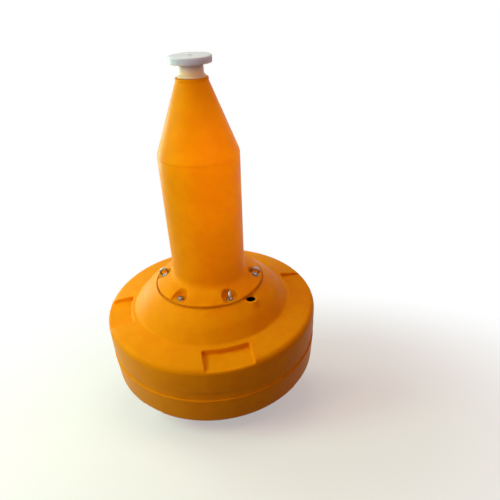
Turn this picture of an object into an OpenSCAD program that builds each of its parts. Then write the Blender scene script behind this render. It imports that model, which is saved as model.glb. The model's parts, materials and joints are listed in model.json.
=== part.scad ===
// Navigation buoy for harbour and channel marking, as it lies on a hard floor.
// A wide round float of moulded plastic carries a tall tower, which is a moulding
// of its own. Six bolts in the pockets of its collar hold it down, and all of them
// but one are lifting eyes.
// Afloat it stands upright. Ashore the mooring lug under its middle keeps it from
// standing, so it leans over on the rim of its flat bottom and on two of the
// weight's studs. All sizes are in millimetres, up the buoy's own axis from the
// float's flat bottom, and at_rest() then lays the buoy down towards -Y.

/* [Float] */
// Radius of the wall above the belt
float_r = 600; // [450:5:900]
// How much narrower the wall is at the chine
wall_draft = 9; // [0:1:30]
// Radius of the flat bottom
base_r = 382; // [300:2:520]
// Height of the chine above the flat bottom
chine_z = 172; // [100:2:260]
// Rounding of the bottom's rim
base_round = 18; // [6:1:30]
// Rounding of the chine
chine_round = 30; // [8:1:60]
// Height of the belt's lower line
belt_z = 325; // [230:1:420]
// Height of the belt
belt_h = 60; // [20:1:100]
// Depth of the belt
belt_d = 7; // [2:0.5:15]
// Height of the shoulder, where the wall meets the deck
shoulder_z = 530; // [450:1:620]
// Rounding of the shoulder
shoulder_round = 36; // [10:1:60]
// Rise of the deck from the shoulder to the hill
deck_rise = 22; // [10:1:80]
// Radius of the hill's foot
hill_r = 440; // [400:2:540]
// Rise of the hill from its foot to the tower's seat
hill_rise = 131; // [60:1:180]
// How far the hill bulges outwards between its foot and the seat
hill_bulge = 11; // [0:1:20]
// Radius of the tower's seat
seat_r = 303; // [260:1:360]

/* [Moulded recesses] */
// How many deck recesses, evenly round
recess_count = 4; // [2:1:6]
// Width of a deck recess
recess_w = 250; // [120:5:300]
// Radius of a deck recess's inner wall, which is curved about the axis
recess_in = 466; // [400:2:520]
// Depth of its floor below the shoulder's corner
recess_drop = 11; // [0:0.5:15]
// Rounding of its inner corners
recess_round = 14; // [4:1:40]
// Width of a notch under the chine
notch_w = 124; // [60:2:200]
// Height of a notch's roof over the chine
notch_up = 6; // [2:1:30]
// How far a notch reaches in from the chine
notch_d = 63; // [20:1:90]
// Rounding of its inner corners
notch_round = 10; // [2:1:30]

/* [Port] */
// Radius of the open port in the hill
port_r = 25; // [15:0.5:35]
// Depth of the port
port_depth = 95; // [40:1:120]
// Turn of the port from the middle of a deck recess
port_turn = 35.3; // [0:0.5:90]
// How far the port's middle lies outside the tower's seat
port_out = 12; // [5:0.5:40]
// How far the port's flat face lies below the tower's seat
port_drop = 9; // [2:0.5:20]
// Width of that face round the port
port_lip = 9; // [4:1:25]
// Widening of the boss under the face
boss_draft = 8; // [0:1:30]
// Height of the boss
boss_h = 34; // [10:1:60]

/* [Tower] */
// Radius of the collar
collar_r = 297; // [250:1:340]
// Thickness of the collar's edge
collar_edge = 15; // [8:1:30]
// Height of the collar
collar_h = 64; // [30:1:120]
// Radius of the drum at its foot
drum_foot_r = 200; // [150:1:240]
// Radius of the drum at its top
drum_top_r = 206; // [150:1:250]
// Height of the drum above the collar
drum_h = 680; // [400:5:1200]
// Height of the cone
cone_h = 355; // [150:5:500]
// Radius of the tower's top
top_r = 77; // [60:1:150]
// Height of the upright rim at the tower's top
rim_h = 12; // [4:1:30]
// Rounding where the drum runs out into the collar
foot_round = 42; // [5:1:90]
// Rounding where the drum turns into the cone
cone_round = 60; // [5:1:200]

/* [Lifting eyes] */
// How many lifting eyes, evenly round
eye_count = 6; // [3:1:8]
// Distance of the eyes from the axis
eye_ring_r = 262; // [230:1:280]
// Radius of the hole in an eye
eye_hole_r = 15; // [8:0.5:20]
// Radius of an eye's bar
eye_bar_r = 6; // [3:0.5:8]
// Radius of an eye's shank
eye_shank_r = 8; // [4:0.5:10]
// Length of an eye's shank below its washer
eye_shank = 70; // [30:1:90]
// Radius of an eye's foot
eye_foot_r = 14; // [9:0.5:20]
// Height of an eye's foot
eye_foot_h = 8; // [4:0.5:14]
// Radius of the washer under an eye
eye_washer_r = 18; // [12:0.5:28]
// Thickness of that washer
eye_washer_t = 3; // [1.5:0.5:5]
// Height of the plain bolt's head
plain_head_h = 13; // [6:0.5:16]
// Radius of that head over its corners
plain_head_r = 16.5; // [9:0.5:20]
// Radius of the scalloped pocket round an eye
pocket_r = 42; // [30:1:55]
// Thickness of the collar under a pocket
pocket_floor = 8; // [4:0.5:20]
// Play of a shank in its hole
hole_play = 0.4; // [0.2:0.1:1.5]

/* [Lantern seat] */
// Radius of the neck
neck_r = 58; // [30:1:60]
// Height of the spool from the tower's top to the flange
neck_h = 60; // [30:1:120]
// Radius of the flared foot
neck_foot_r = 68; // [50:1:75]
// Height of the flared foot
neck_foot_h = 14; // [6:1:25]
// Radius of the flange
flange_r = 100; // [75:1:160]
// Thickness of the flange
flange_t = 33; // [12:1:45]
// Rounding of the flange's edges
flange_round = 5; // [1:0.5:8]
// Radius of the cable bore through the spool
cable_r = 16; // [6:0.5:25]
// Diameter of the circle of the lantern's bolt holes
lantern_pcd = 160; // [140:1:180]
// How many bolt holes the flange has
lantern_holes = 4; // [3:1:6]
// Radius of a bolt hole
lantern_hole_r = 5.5; // [3:0.5:8]

/* [Weight and mooring] */
// Radius of the counterweight
weight_r = 150; // [120:1:200]
// Thickness of the counterweight
weight_h = 84; // [40:1:120]
// Radius of the hole in the counterweight
weight_bore_r = 62; // [50:1:75]
// Chamfer on the counterweight's edges
weight_bevel = 5; // [1:0.5:10]
// How many studs hold the counterweight
stud_count = 6; // [4:2:8]
// Distance of the studs from the axis
stud_ring_r = 120; // [95:1:130]
// Radius of a stud
stud_r = 8; // [5:0.5:12]
// How far a stud reaches up into the float
stud_in = 90; // [40:1:120]
// How far a stud stands out of its nut
stud_end = 6; // [2:0.5:12]
// Height of a nut
nut_h = 13; // [8:0.5:18]
// Radius of a nut over its corners
nut_r = 13.8; // [10:0.1:18]
// Radius of a nut's washer
washer_r = 15; // [12:0.5:19]
// Thickness of a nut's washer
washer_t = 3; // [1.5:0.5:5]
// Thickness of the mooring lug
lug_t = 28; // [16:1:40]
// Radius of the lug's round end
lug_r = 36; // [28:1:50]
// Radius of the hole for the mooring shackle
lug_hole_r = 17; // [12:0.5:22]
// How far the lug reaches below the counterweight
lug_out = 58; // [30:1:60]
// Radius of the lug's root plate
root_r = 56; // [45:1:60]
// Thickness of the root plate
root_t = 12; // [6:1:20]
// Radius of the lug's shank in the float
lug_shank_r = 22; // [12:1:30]
// Length of that shank
lug_shank = 140; // [60:1:200]

/* [Pose and mesh] */
// Turn of the float about its axis as it lies
roll = 10.5; // [-180:0.5:180]
// Steps in each rounded corner
corner_steps = 6; // [3:1:12]
// Segments round the large turned shapes
round_fn = 180; // [48:4:240]

/* [Hidden] */

orange = [0.93, 0.47, 0.02];
milky = [0.90, 0.89, 0.85];
steel = [0.75, 0.75, 0.76];
zinc = [0.66, 0.70, 0.68];

chine_r = float_r - wall_draft;
hill_z = shoulder_z + deck_rise;
seat_z = hill_z + hill_rise;
recess_z = shoulder_z - recess_drop;
drum_z = seat_z + collar_h;
cone_z = drum_z + drum_h;
top_z = cone_z + cone_h;
flange_z = top_z + neck_h;
crown_z = flange_z + flange_t;
pocket_z = seat_z + pocket_floor;
eye_z = pocket_z + eye_washer_t + eye_foot_h + eye_bar_r * 0.6 + eye_hole_r;
stack_h = weight_h + washer_t + nut_h + stud_end;
port_face_z = seat_z - port_drop;
// the turn of each eye as it was screwed down, and the place of the plain bolt among them
eye_turns = [3, 32, -20, 6, 30, -27, 0, 16];
plain_place = 4;

function unit(v) = v / norm(v);
// half the angle at q between p and s
function half_angle(p, q, s) = acos(unit(p - q) * unit(s - q)) / 2;
// centre of a rounding of radius rad in the corner q
function round_centre(p, q, s, rad) = q + unit(unit(p - q) + unit(s - q)) * rad / sin(half_angle(p, q, s));
// the points of a rounded corner, from the side of p to the side of s
function corner(p, q, s, rad, n) =
    rad <= 0 ? [q] :
    let (a = unit(p - q), b = unit(s - q), h = half_angle(p, q, s),
         t = min(rad / tan(h), 0.49 * norm(p - q), 0.49 * norm(s - q)),
         r = t * tan(h), c = round_centre(p, q, s, r),
         v = q + a * t - c, w = q + b * t - c,
         from = atan2(v[1], v[0]), turn = atan2(v[0] * w[1] - v[1] * w[0], v * w))
    [for (i = [0 : n]) c + r * [cos(from + turn * i / n), sin(from + turn * i / n)]];
function xy(p) = [p[0], p[1]];
// a closed outline from corners given as [x, y, rounding]
function rounded(pts, n = corner_steps) =
    let (m = len(pts))
    [for (i = [0 : m - 1])
        each corner(xy(pts[(i + m - 1) % m]), xy(pts[i]), xy(pts[(i + 1) % m]), pts[i][2], n)];

// The float's half outline: [radius, height, rounding]
hill_mid = [(hill_r + seat_r) / 2 + hill_bulge * 0.6, (hill_z + seat_z) / 2 + hill_bulge * 0.8];
float_outline = [
    [0, 0, 0], [base_r, 0, base_round], [chine_r, chine_z, chine_round],
    [float_r, belt_z, 2], [float_r - belt_d, belt_z + 3, 2],
    [float_r - belt_d, belt_z + belt_h - 3, 2], [float_r, belt_z + belt_h, 2],
    [float_r, shoulder_z, shoulder_round], [hill_r, hill_z, 22],
    [hill_mid[0], hill_mid[1], 150], [seat_r, seat_z, 5], [0, seat_z, 0]];

// The tower's half outline
tower_outline = [
    [0, seat_z, 0], [collar_r, seat_z, 6], [collar_r, seat_z + collar_edge, 8],
    [drum_foot_r, drum_z, foot_round], [drum_top_r, cone_z, cone_round],
    [top_r + 1, top_z - rim_h, 6], [top_r, top_z, 5], [0, top_z, 0]];

// The lean at which the bottom's rim and two of the studs reach the floor together:
// the rim is a rounding about [rim_y, base_round], the studs end at stack_h below.
rim_half = half_angle([0, 0], [base_r, 0], [chine_r, chine_z]);
rim_y = base_r - base_round / tan(rim_half);
stud_y = stud_ring_r * cos(180 / stud_count) + stud_r;
reach = norm([base_round + stack_h, rim_y - stud_y]);
lean = acos(base_round / reach) - atan2(rim_y - stud_y, base_round + stack_h);

// The buoy's lowest, foremost and rearmost points as it leans, for its place over the origin
low_z = base_round * cos(lean) - rim_y * sin(lean) - base_round;
front_y = -(flange_r - flange_round) * cos(lean) - (crown_z - flange_round) * sin(lean) - flange_round;
chine_mid = round_centre([base_r, 0], [chine_r, chine_z], [float_r, belt_z], chine_round);
rear_y = chine_mid[0] * cos(lean) - chine_mid[1] * sin(lean) + chine_round;

// Lays the upright buoy down as it comes to rest, its middle over the origin
module at_rest() {
    translate([0, -(front_y + rear_y) / 2, -low_z])
        rotate([lean, 0, 0]) children();
}

// count copies round the axis, the first at angle start from the lean's direction
module round_axis(count, start = 0) {
    for (i = [0 : count - 1])
        rotate([0, 0, -90 + start + i * 360 / count]) children();
}

// Sinks a deck recess: a slot with parallel sides, open outwards, with a round inner wall
module deck_recess() {
    inner_half = asin((recess_w / 2 - recess_round) / (recess_in + recess_round));
    inner_mid = (recess_in + recess_round) * cos(inner_half);
    wall = [for (i = [-8 : 8]) recess_in * [cos(inner_half * i / 8), sin(inner_half * i / 8)]];
    bend = [for (i = [1 : corner_steps]) recess_round *
        [-cos(inner_half + (90 - inner_half) * i / corner_steps), -sin(inner_half + (90 - inner_half) * i / corner_steps)]];
    middle = [inner_mid, -recess_w / 2 + recess_round];
    translate([0, 0, recess_z])
        linear_extrude(seat_z)
            polygon([each [for (i = [len(bend) - 1 : -1 : 0]) middle + [bend[i][0], bend[i][1]]],
                each wall, each [for (b = bend) [middle[0] + b[0], -middle[1] - b[1]]],
                [float_r * 1.2, recess_w / 2], [float_r * 1.2, -recess_w / 2]]);
}

// Cuts a notch: a step under the chine with an upright back wall that runs out in the cone
module chine_notch() {
    translate([0, 0, chine_z + notch_up - float_r])
        linear_extrude(float_r)
            polygon(rounded([
                [chine_r - notch_d, -notch_w / 2, notch_round], [float_r * 1.2, -notch_w / 2, 0],
                [float_r * 1.2, notch_w / 2, 0], [chine_r - notch_d, notch_w / 2, notch_round]]));
}

// Places the port on the hill
module at_port() {
    round_axis(1, roll + port_turn)
        translate([seat_r + port_out, 0, port_face_z]) children();
}

// Flat round boss on the hill's slope, with the port's face on top
module port_boss() {
    at_port() translate([0, 0, -boss_h])
        cylinder(h = boss_h, r1 = port_r + port_lip + boss_draft, r2 = port_r + port_lip, $fn = 72);
}

// Clears the face of the boss and sinks the upright port
module port() {
    at_port() {
        translate([0, 0, -port_depth]) cylinder(h = port_depth * 2, r = port_r, $fn = 64);
        cylinder(h = hill_rise, r = port_r + port_lip, $fn = 72);
    }
}

module float_hull() {
    color(orange) at_rest() difference() {
        union() {
            rotate_extrude($fn = round_fn) polygon(rounded(float_outline));
            port_boss();
        }
        round_axis(recess_count, roll) deck_recess();
        round_axis(recess_count, roll + 180 / recess_count) chine_notch();
        port();
        eye_places() translate([0, 0, seat_z - eye_shank])
            cylinder(h = eye_shank * 2, r = eye_shank_r + hole_play, $fn = 32);
        stud_places() translate([0, 0, -1])
            cylinder(h = stud_in + 1 + hole_play, r = stud_r + hole_play, $fn = 32);
        translate([0, 0, -1])
            cylinder(h = lug_shank + 1 + hole_play, r = lug_shank_r + hole_play, $fn = 48);
    }
}

// One of the bolts' places round the collar
module eye_place(i) {
    round_axis(1, roll + 180 / recess_count + (i + 0.5) * 360 / eye_count)
        translate([eye_ring_r, 0, 0]) children();
}

// All of them
module eye_places() {
    for (i = [0 : eye_count - 1]) eye_place(i) children();
}

// Places of the studs: two of them stand either side of the lean's direction
module stud_places() {
    round_axis(stud_count, 180 / stud_count)
        translate([stud_ring_r, 0, 0]) children();
}

// Scalloped pocket: round towards the axis, open at the collar's edge
module pocket() {
    translate([0, 0, pocket_z]) linear_extrude(collar_h + drum_h / 2)
        union() {
            circle(r = pocket_r, $fn = 64);
            translate([0, -pocket_r]) square([collar_r, pocket_r * 2]);
        }
}

module tower() {
    color(orange) at_rest() difference() {
        rotate_extrude($fn = round_fn) polygon(rounded(tower_outline));
        eye_places() {
            pocket();
            translate([0, 0, seat_z - 1])
                cylinder(h = pocket_floor + 2, r = eye_shank_r + hole_play, $fn = 32);
        }
    }
}

// One lifting eye: shank, foot and ring
module lifting_eye(turn) {
    foot_z = pocket_z + eye_washer_t;
    translate([0, 0, foot_z - eye_shank]) cylinder(h = eye_shank + 1, r = eye_shank_r, $fn = 32);
    translate([0, 0, foot_z]) cylinder(h = eye_foot_h, r = eye_foot_r, $fn = 40);
    translate([0, 0, eye_z]) rotate([0, 0, turn]) rotate([90, 0, 0])
        rotate_extrude($fn = 48) translate([eye_hole_r + eye_bar_r, 0]) circle(r = eye_bar_r, $fn = 24);
}

module eye_bolts() {
    color(steel) at_rest()
        for (i = [0 : eye_count - 1])
            if (i != plain_place) eye_place(i) lifting_eye(eye_turns[i % len(eye_turns)]);
}

// The bolt that stands in for one of the eyes
module plain_bolt() {
    foot_z = pocket_z + eye_washer_t;
    color(steel) at_rest() eye_place(plain_place) {
        translate([0, 0, foot_z - eye_shank]) cylinder(h = eye_shank + 1, r = eye_shank_r, $fn = 32);
        translate([0, 0, foot_z]) cylinder(h = plain_head_h, r = plain_head_r, $fn = 6);
    }
}

module eye_washers() {
    color(steel) at_rest() eye_places() translate([0, 0, pocket_z]) difference() {
        cylinder(h = eye_washer_t, r = eye_washer_r, $fn = 40);
        translate([0, 0, -1]) cylinder(h = eye_washer_t + 2, r = eye_shank_r + hole_play, $fn = 32);
    }
}

module lantern_seat() {
    color(milky) at_rest() difference() {
        rotate_extrude($fn = 96) polygon(rounded([
            [0, top_z, 0], [neck_foot_r, top_z, 2], [neck_foot_r, top_z + neck_foot_h / 3, 2],
            [neck_r, top_z + neck_foot_h, 8], [neck_r, flange_z, 6], [flange_r, flange_z, flange_round],
            [flange_r, crown_z, flange_round], [0, crown_z, 0]]));
        translate([0, 0, top_z - 1]) cylinder(h = neck_h + flange_t + 2, r = cable_r, $fn = 48);
        round_axis(lantern_holes, 180 / lantern_holes) translate([lantern_pcd / 2, 0, flange_z - 1])
            cylinder(h = flange_t + 2, r = lantern_hole_r, $fn = 32);
    }
}

module counterweight() {
    color(zinc) at_rest() difference() {
        rotate_extrude($fn = 96) polygon([
            [weight_bore_r, 0], [weight_r - weight_bevel, 0], [weight_r, -weight_bevel],
            [weight_r, -weight_h + weight_bevel], [weight_r - weight_bevel, -weight_h],
            [weight_bore_r + weight_bevel, -weight_h], [weight_bore_r, -weight_h + weight_bevel]]);
        stud_places() translate([0, 0, -weight_h - 1])
            cylinder(h = weight_h + 2, r = stud_r + hole_play, $fn = 32);
    }
}

module mooring_eye() {
    end_z = -weight_h - lug_out + lug_r;
    color(steel) at_rest() difference() {
        union() {
            cylinder(h = lug_shank, r = lug_shank_r, $fn = 48);
            translate([0, 0, -root_t]) cylinder(h = root_t, r = root_r, $fn = 64);
            translate([0, 0, end_z]) rotate([90, 0, 0])
                cylinder(h = lug_t, r = lug_r, center = true, $fn = 64);
            translate([-lug_r, -lug_t / 2, end_z]) cube([lug_r * 2, lug_t, -end_z - root_t / 2]);
        }
        translate([0, 0, end_z]) rotate([90, 0, 0])
            cylinder(h = lug_t + 2, r = lug_hole_r, center = true, $fn = 64);
    }
}

module base_studs() {
    color(steel) at_rest() stud_places() translate([0, 0, -stack_h])
        cylinder(h = stack_h + stud_in, r = stud_r, $fn = 32);
}

module base_washers() {
    color(steel) at_rest() stud_places() translate([0, 0, -weight_h - washer_t]) difference() {
        cylinder(h = washer_t, r = washer_r, $fn = 32);
        translate([0, 0, -1]) cylinder(h = washer_t + 2, r = stud_r + hole_play, $fn = 32);
    }
}

module base_nuts() {
    color(steel) at_rest() stud_places() translate([0, 0, -stack_h + stud_end]) difference() {
        cylinder(h = nut_h, r = nut_r, $fn = 6);
        translate([0, 0, -1]) cylinder(h = nut_h + 2, r = stud_r + hole_play, $fn = 32);
    }
}

float_hull();
tower();
eye_bolts();
plain_bolt();
eye_washers();
lantern_seat();
counterweight();
mooring_eye();
base_studs();
base_washers();
base_nuts();
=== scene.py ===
# %% [markdown]
# This scene dresses a navigation buoy that lies ashore, leaning on the rim of its flat bottom.
# The imported model gives the shape and the place of every piece, so the lesson starts by loading it.

# %% Load the imported buoy
import json
import math

import bpy
import numpy as np
from mathutils import Matrix, Vector


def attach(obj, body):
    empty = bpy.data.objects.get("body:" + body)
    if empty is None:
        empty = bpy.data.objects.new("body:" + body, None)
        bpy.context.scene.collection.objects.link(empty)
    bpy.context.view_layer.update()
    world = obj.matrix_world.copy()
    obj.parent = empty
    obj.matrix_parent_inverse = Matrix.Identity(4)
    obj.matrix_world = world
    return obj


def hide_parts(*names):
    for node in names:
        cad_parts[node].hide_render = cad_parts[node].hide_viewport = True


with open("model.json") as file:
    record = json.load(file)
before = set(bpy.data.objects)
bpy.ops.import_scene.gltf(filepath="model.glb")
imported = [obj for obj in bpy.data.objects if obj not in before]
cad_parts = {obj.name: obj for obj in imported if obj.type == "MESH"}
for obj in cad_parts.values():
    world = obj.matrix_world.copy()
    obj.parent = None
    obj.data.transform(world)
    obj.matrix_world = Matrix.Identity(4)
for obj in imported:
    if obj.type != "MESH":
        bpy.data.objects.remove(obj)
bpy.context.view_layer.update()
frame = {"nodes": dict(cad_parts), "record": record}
print("nodes:", sorted(frame["nodes"]))

# %% [markdown]
# The buoy leans, so it is easiest to think of it upright and to lay it down at the end.
# The record's mounts say where the lantern's flange is and which way it faces. From these two
# facts the lean and the place of the float's flat bottom follow, and one matrix does the turning.
# Upright, a place is given by its turn about the axis from the side that the buoy leans to,
# counterclockwise from above, by its distance from the axis and by its height over the bottom.

# %% The buoy's own axis
mounts = {m["name"]: m for m in frame["record"]["mounts"]}
crown = Vector(mounts["lantern_bolts"]["pos_m"])
mast_axis = Vector(mounts["lantern_bolts"]["axis"])
CROWN_Z = 1875.0
lean = math.atan2(-mast_axis.y, mast_axis.z)
lie_down = Matrix.Translation(crown - mast_axis * CROWN_Z / 1000) @ Matrix.Rotation(lean, 4, "X")
ROLL = math.radians(10.5)
print("lean:", round(math.degrees(lean), 2), "degrees")

def lay(points):
    """Upright points in millimetres, laid down with the buoy, in metres."""
    turn = np.array(lie_down.to_3x3())
    return np.asarray(points, float) / 1000 @ turn.T + np.array(lie_down.translation)

# %% [markdown]
# A camera is set by where it stands and by three directions: right, up and forward. These come
# from the photograph's own lines: the circles of the float fix the distance, and plumb lines
# fix what is level. A matrix takes them as its columns, which is shorter than three angles.

# %% Camera
CAMERA_PLACE = Vector((0.1846, -2.7451, 1.3219))
CAMERA_RIGHT = Vector((0.9985, -0.0271, -0.0468))
CAMERA_FORWARD = Vector((0.0197, 0.9884, -0.1507))
CAMERA_SENSOR, CAMERA_LENS = 36, 33.624

def object_of(name, data):
    """A new object in the scene, with a mesh, a lamp or a camera as its data."""
    made = bpy.data.objects.new(name, data)
    bpy.context.scene.collection.objects.link(made)
    return made

camera = object_of("camera", bpy.data.cameras.new("camera"))
camera.data.sensor_width, camera.data.lens = CAMERA_SENSOR, CAMERA_LENS
right = CAMERA_RIGHT.normalized()
up = right.cross(CAMERA_FORWARD).normalized()
turned_to = Matrix((right, up, right.cross(up))).transposed().to_4x4()
camera.matrix_world = Matrix.Translation(CAMERA_PLACE) @ turned_to
bpy.context.scene.camera = camera
print("camera:", CAMERA_LENS, "mm")

# %% [markdown]
# Both large pieces are hollow plastic mouldings, turned shapes with recesses let into them. Such a
# skin can be cut with booleans, but then its lips stay sharp and its shading breaks. Here it is
# one net of points instead, rows from the bottom up and columns round the axis. An outline gives
# the rows, with every corner rounded, and rows are added wherever a recess has an edge.

# %% Outlines with rounded corners
def rounded(corners, steps=8):
    """A polyline through corners (radius, height, rounding), the corners rounded off."""
    points = [np.array(corners[0][:2], float)]
    for before, corner, after in zip(corners, corners[1:], corners[2:]):
        p, q, s = (np.array(c[:2], float) for c in (before, corner, after))
        to_p, to_s = np.linalg.norm(p - q), np.linalg.norm(s - q)
        a, b = (p - q) / to_p, (s - q) / to_s
        half = math.acos(np.clip(a @ b, -1, 1)) / 2
        cut = min(corner[2] / math.tan(half), 0.49 * to_p, 0.49 * to_s)
        centre = q + (a + b) / np.linalg.norm(a + b) * cut / math.cos(half)
        v, w = q + a * cut - centre, q + b * cut - centre
        start, turn = math.atan2(v[1], v[0]), math.atan2(v[0] * w[1] - v[1] * w[0], v @ w)
        for t in start + turn * np.arange(steps + 1) / steps:
            points.append(centre + np.linalg.norm(v) * np.array([math.cos(t), math.sin(t)]))
    points.append(np.array(corners[-1][:2], float))
    return np.array(points)

def filled(stops, gap):
    """The stops but the last, with more between them where they are further apart than the gap."""
    return np.concatenate([np.linspace(a, b, int((b - a) / gap) + 2)[:-1] for a, b in zip(stops, stops[1:])])

def rows_on(outline, gap, wanted):
    """The outline's points, none further apart than gap, and one at each wanted value.

    A wanted row is (axis, value, low, high): 0 for radius or 1 for height, and the heights between
    which it is looked for."""
    run = np.r_[0, np.cumsum(np.linalg.norm(np.diff(outline, axis=0), axis=1))]
    stops = list(filled(run, gap)) + [run[-1]]
    for axis, value, low, high in wanted:
        for i, (p, q) in enumerate(zip(outline, outline[1:])):
            within = low <= min(p[1], q[1]) and max(p[1], q[1]) <= high
            if within and (p[axis] - value) * (q[axis] - value) <= 0 and p[axis] != q[axis]:
                stops.append(run[i] + (run[i + 1] - run[i]) * (value - p[axis]) / (q[axis] - p[axis]))
    stops = np.unique(np.round(stops, 3))
    return np.c_[np.interp(stops, run, outline[:, 0]), np.interp(stops, run, outline[:, 1])]

# %% [markdown]
# A recess with an upright wall needs rows and columns along its edge, or the edge comes out like
# saw teeth. So every recess lists its own stops: close together at the rounded lip and at the
# rounded foot of the wall. Round corners and round holes use an old trick: the squares of the net
# are drawn in to circles near the corner, which keeps the lines of the net along the edge.

# %% Lips, feet and round corners
LIP, FOOT = 5.0, 8.0

def edge_stops(lip=LIP, foot=FOOT, steps=5):
    """Distances inside the edge, in millimetres, at which a recess needs a line of the net."""
    left = 1 - np.sin(np.radians(np.linspace(0, 90, steps + 1)))
    return (-lip * left - 0.05).tolist() + (foot * left + 0.05).tolist()

def sunk(inside, depth, lip=LIP, foot=FOOT):
    """How far the skin is pushed in, at a distance inside the edge of a recess of that depth."""
    lip_r, foot_r = np.minimum(lip, depth / 2), np.minimum(foot, depth / 2)
    high = lip_r * (1 - np.sqrt(np.clip(1 - ((inside + lip) / lip) ** 2, 0, 1)))
    low = depth - foot_r * (1 - np.sqrt(np.clip(1 - ((foot - inside) / foot) ** 2, 0, 1)))
    return np.where(inside <= -lip, 0, np.where(inside < 0, high, np.where(inside < foot, low, depth)))

def fade(x, full, none):
    """1 up to full, 0 from none on, smooth between them."""
    t = np.clip((none - x) / (none - full), 0, 1)
    return t * t * (3 - 2 * t)

def above(x, soft):
    """x where it is over zero, else zero, with a soft bend."""
    return np.where(x > soft, x, np.where(x < -soft, 0, (x + soft) ** 2 / (4 * soft)))

def drawn_in(a, b, full, none):
    """Draws the squares about the origin in to circles, up to the size full, fading out at none."""
    size = np.maximum(np.abs(a), np.abs(b))
    scale = 1 + (size / np.maximum(np.hypot(a, b), 1e-9) - 1) * fade(size, full, none)
    return a * scale, b * scale, size

# %% [markdown]
# The net is three arrays, one number for each point: its distance from the axis, its turn about
# the axis and its height. They are bent step by step, and the last step joins the points to a
# closed skin, with a fan of triangles at either end.

# %% The net and its skin
def wrapped(turn):
    """The same turn, brought between half a turn back and half a turn on."""
    return (turn + math.pi) % (2 * math.pi) - math.pi

def edge_marks(first, count, half, stops, reach):
    """Turns at both edges of a recess of that half width at that reach, and of its copies."""
    return [first + k * 2 * math.pi / count + s * (half - d) / reach
            for k in range(count) for d in stops for s in (-1, 1)]

def columns_at(marks, gap):
    """Sorted turns round the axis at the marks, with more between them where they are far apart."""
    marks = np.unique(np.round(np.mod(marks, 2 * math.pi), 6))
    return filled(np.r_[marks, marks[0] + 2 * math.pi], gap)

def net(rows, columns):
    """Distance from the axis, turn and height of each point, as arrays of rows by columns."""
    shape = len(rows), len(columns)
    return [np.broadcast_to(part, shape) for part in (rows[:, :1], columns[None, :], rows[:, 1:])]

def put(where, middle, out, side):
    """The net's radius and turn, with the marked points put out and to the side of a turn."""
    return (np.where(where, np.hypot(out, side), radius),
            np.where(where, middle + np.arctan2(side, out), turn))

def on_slope(slope, radius):
    """Height of a slope that falls outwards, at a distance from the axis."""
    return np.interp(radius, slope[::-1, 0], slope[::-1, 1])

def declared(piece, nodes):
    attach(piece, "root")
    if nodes is not None:
        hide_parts(*nodes)
    print(piece.name, "faces", len(piece.data.polygons))
    return piece

def skin(name, radius, turn, height):
    """A closed skin from a net. Its first and last row lie on the axis."""
    rows, count = radius.shape
    ring = np.stack([radius * np.sin(turn + ROLL), -radius * np.cos(turn + ROLL), height], axis=-1)
    points = np.r_[ring[0, :1], ring[1:-1].reshape(-1, 3), ring[-1, :1]]
    at = lambda r, c: 1 + (r - 1) * count + c % count
    faces = [(0, at(1, c + 1), at(1, c)) for c in range(count)]
    for r in range(1, rows - 2):
        faces += [(at(r, c), at(r, c + 1), at(r + 1, c + 1), at(r + 1, c)) for c in range(count)]
    last = len(points) - 1
    faces += [(at(rows - 2, c), at(rows - 2, c + 1), last) for c in range(count)]
    mesh = bpy.data.meshes.new(name)
    mesh.from_pydata(lay(points).tolist(), [], faces)
    mesh.shade_smooth()
    return object_of(name, mesh)

# %% [markdown]
# The float is a wide drum with a belt pressed into its wall, a shallow deck and a hill that carries
# the tower. Four recesses are let into the deck, open towards the rim, and four notches into the
# cone under the chine, halfway between them. A port opens upwards in a flat face on the hill.

# %% The float's outline and its net
FLOAT_R, BASE_R, CHINE_R, CHINE_Z = 599.9, 382, 590.96, 172
BELT_R, BELT_LOW, BELT_HIGH, BELT_ROUND = 593, 325, 385, 3
SHOULDER_Z, HILL_R, HILL_Z, SEAT_R, SEAT_Z, SEAM_R = 530, 440, 552, 303, 683, 300
RECESS_HALF, RECESS_IN, RECESS_Z, RECESS_ROUND, RECESS_REF = 125, 466, 519, 14, 536.0
NOTCH_HALF, NOTCH_IN, NOTCH_Z, NOTCH_LIP, NOTCH_ROUND, NOTCH_REF = 62, 528, 178, 5, 10, 560.0
PORT_R, PORT_AT, PORT_TURN, PORT_Z, PORT_WALL = 25, 315, math.radians(35.3), 674, 8
PORT_FACE_R, BOSS_R, BOSS_DROP = 34, 48, 34
QUARTER = math.pi / 2

float_outline = rounded([
    (0, 0, 0), (BASE_R, 0, 18), (CHINE_R, CHINE_Z, 30),
    (FLOAT_R, BELT_LOW, BELT_ROUND), (BELT_R, BELT_LOW + 3, BELT_ROUND),
    (BELT_R, BELT_HIGH - 3, BELT_ROUND), (FLOAT_R, BELT_HIGH, BELT_ROUND),
    (FLOAT_R, SHOULDER_Z, 36), (HILL_R, HILL_Z, 22), (378.1, 626.3, 150), (SEAT_R, SEAT_Z, 5), (0, SEAT_Z, 0)])
port_marks = [0, 8, 15, 20, 23.5, 24.95, 25.05, 25.5, 26.5, 28, 30, 32, 33.5, 35, 37, 39, 41.5, 45, 50, 57]
port_marks = sorted({s * m for m in port_marks for s in (-1, 1)})
notch_stops = edge_stops(NOTCH_LIP, NOTCH_LIP)
near_recess, near_notch = [-30, -22, -16, -11, 11, 15, 20, 26, 34], [-12, 10, 18, 28, 38, 48, 54, 60, 68]
near_seam = [-6, -5, -3.5, -2, 0, 2, 3.5, 5, 6.5, 8, 9.5, 11, 12.5, 14]
wanted = [(0, RECESS_IN + d, SHOULDER_Z - 30, SEAT_Z) for d in edge_stops() + near_recess]
wanted += [(1, NOTCH_Z - d, 60, 230) for d in notch_stops + near_notch]
wanted += [(0, PORT_AT + m, HILL_Z, SEAT_Z + 1) for m in port_marks]
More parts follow.
